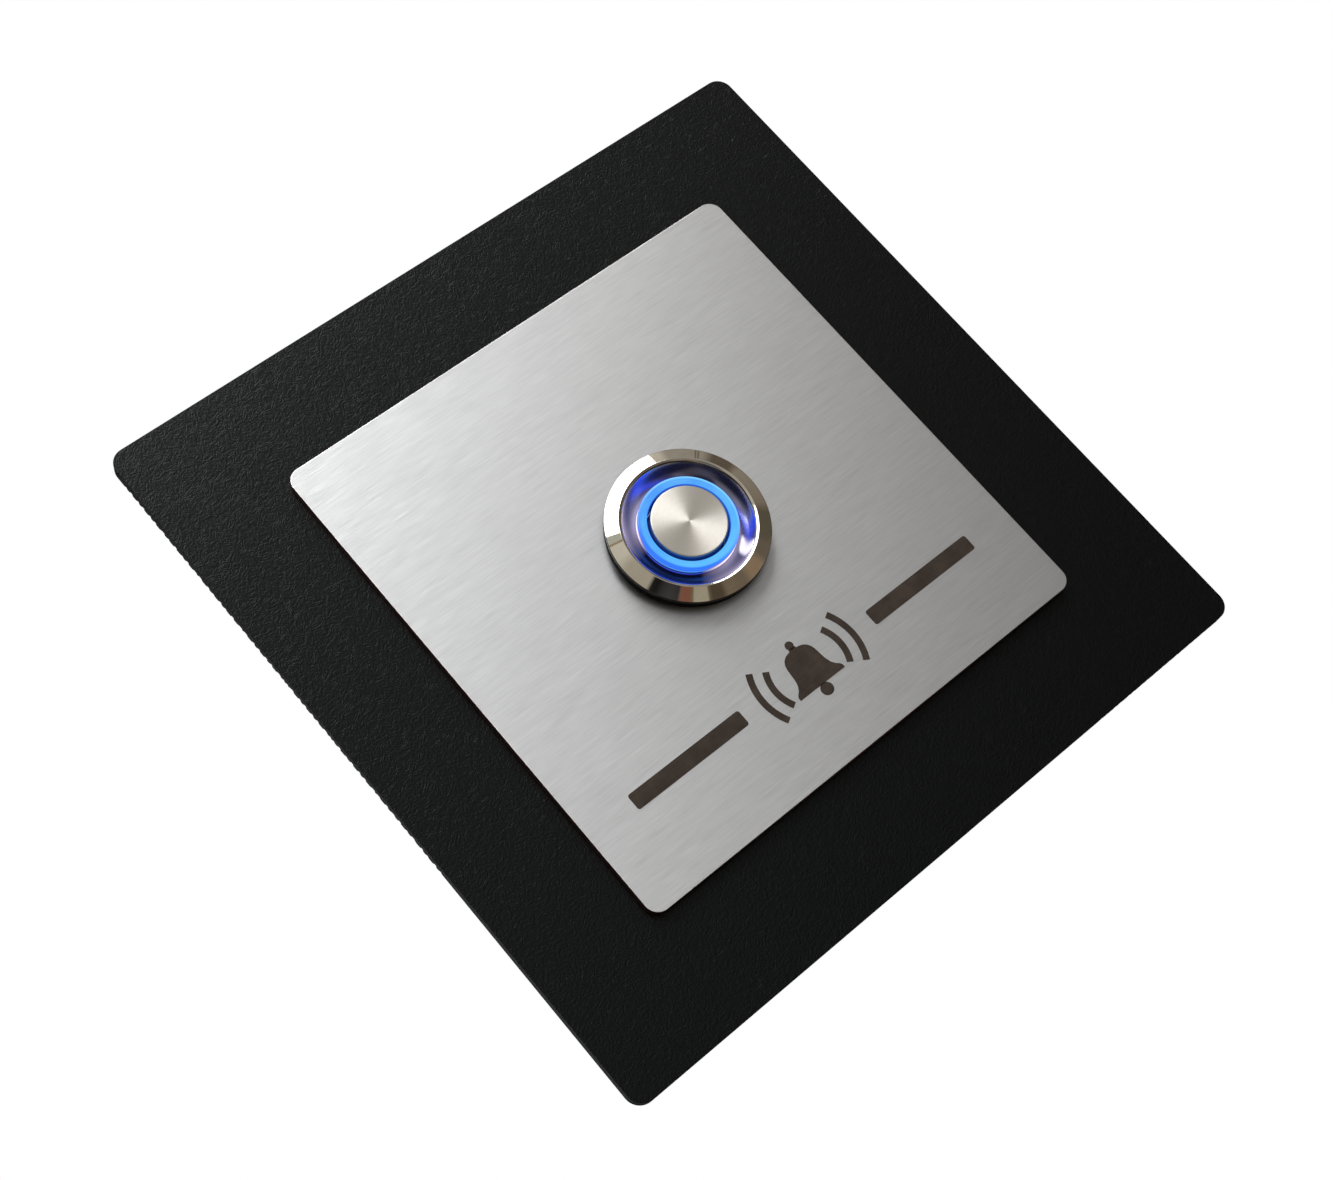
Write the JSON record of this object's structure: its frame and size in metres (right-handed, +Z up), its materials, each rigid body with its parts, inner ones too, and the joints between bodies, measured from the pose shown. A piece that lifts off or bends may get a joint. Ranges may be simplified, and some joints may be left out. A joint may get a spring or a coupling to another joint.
{
  "type": "doorbell push button",
  "caption": "Illuminated doorbell push button: a round metal push switch with a lit ring on a square brushed steel and black grained wall plate.",
  "frame": {"origin": "middle of the wall face, on the back of the foam tape", "axes": "X to the right, Z up, -Y out of the wall at the visitor, +Y into the wall"},
  "size_m": [0.086, 0.025, 0.086],
  "materials": {
    "grained_black_plastic": "leather grained, matt",
    "brushed_steel_sheet": "fine straight brushing",
    "polished_metal": "polished",
    "spun_metal": "circular spun finish",
    "nickel_nut": "nickel plated",
    "black_rubber": "smooth",
    "foam_tape": "closed-cell foam with adhesive",
    "clear_adhesive": "thin adhesive film",
    "lit_plastic": "translucent, lit blue",
    "black_plastic": "moulded",
    "white_plastic": "moulded",
    "board": "white lacquered board",
    "lamp_case": "lamp chip",
    "ceramic_chip": "chip resistor",
    "resin": "poured resin",
    "spring_steel": "drawn wire",
    "tinned_brass": "tinned",
    "silver_alloy": "riveted contact",
    "lead_insulation": "insulated lead"
  },
  "bodies": {
    "plate_and_switch": {"wall_tape": "foam_tape", "base_plate": "grained_black_plastic", "face_adhesive": "clear_adhesive", "face_plate": "brushed_steel_sheet", "head_gasket": "black_rubber", "switch_body": "polished_metal", "panel_nut": "nickel_nut", "light_ring": "lit_plastic", "led_board": "board", "led_chips": "lamp_case", "led_resistor": "ceramic_chip", "guide_sleeve": "black_plastic", "plunger_seal": "black_rubber", "return_spring": "spring_steel", "fixed_contacts": "silver_alloy", "contact_housing": "black_plastic", "rear_potting": "resin", "common_terminal": "tinned_brass", "switched_terminal": "tinned_brass", "lamp_plus_terminal": "tinned_brass", "lamp_minus_terminal": "tinned_brass", "lamp_leads": "lead_insulation"},
    "button": {"button_cap": "spun_metal", "plunger": "white_plastic", "retaining_clip": "spring_steel", "contact_bridge": "tinned_brass", "moving_contacts": "silver_alloy"}
  },
  "joints": [
    {"name": "button_press", "type": "slide", "parent": "plate_and_switch", "child": "button", "axis": [0, 1, 0], "range_m": [0, 0.0015], "stiffness_N_per_m": 1500, "springref_m": -0.0012, "deforming": ["return_spring"]}
  ]
}
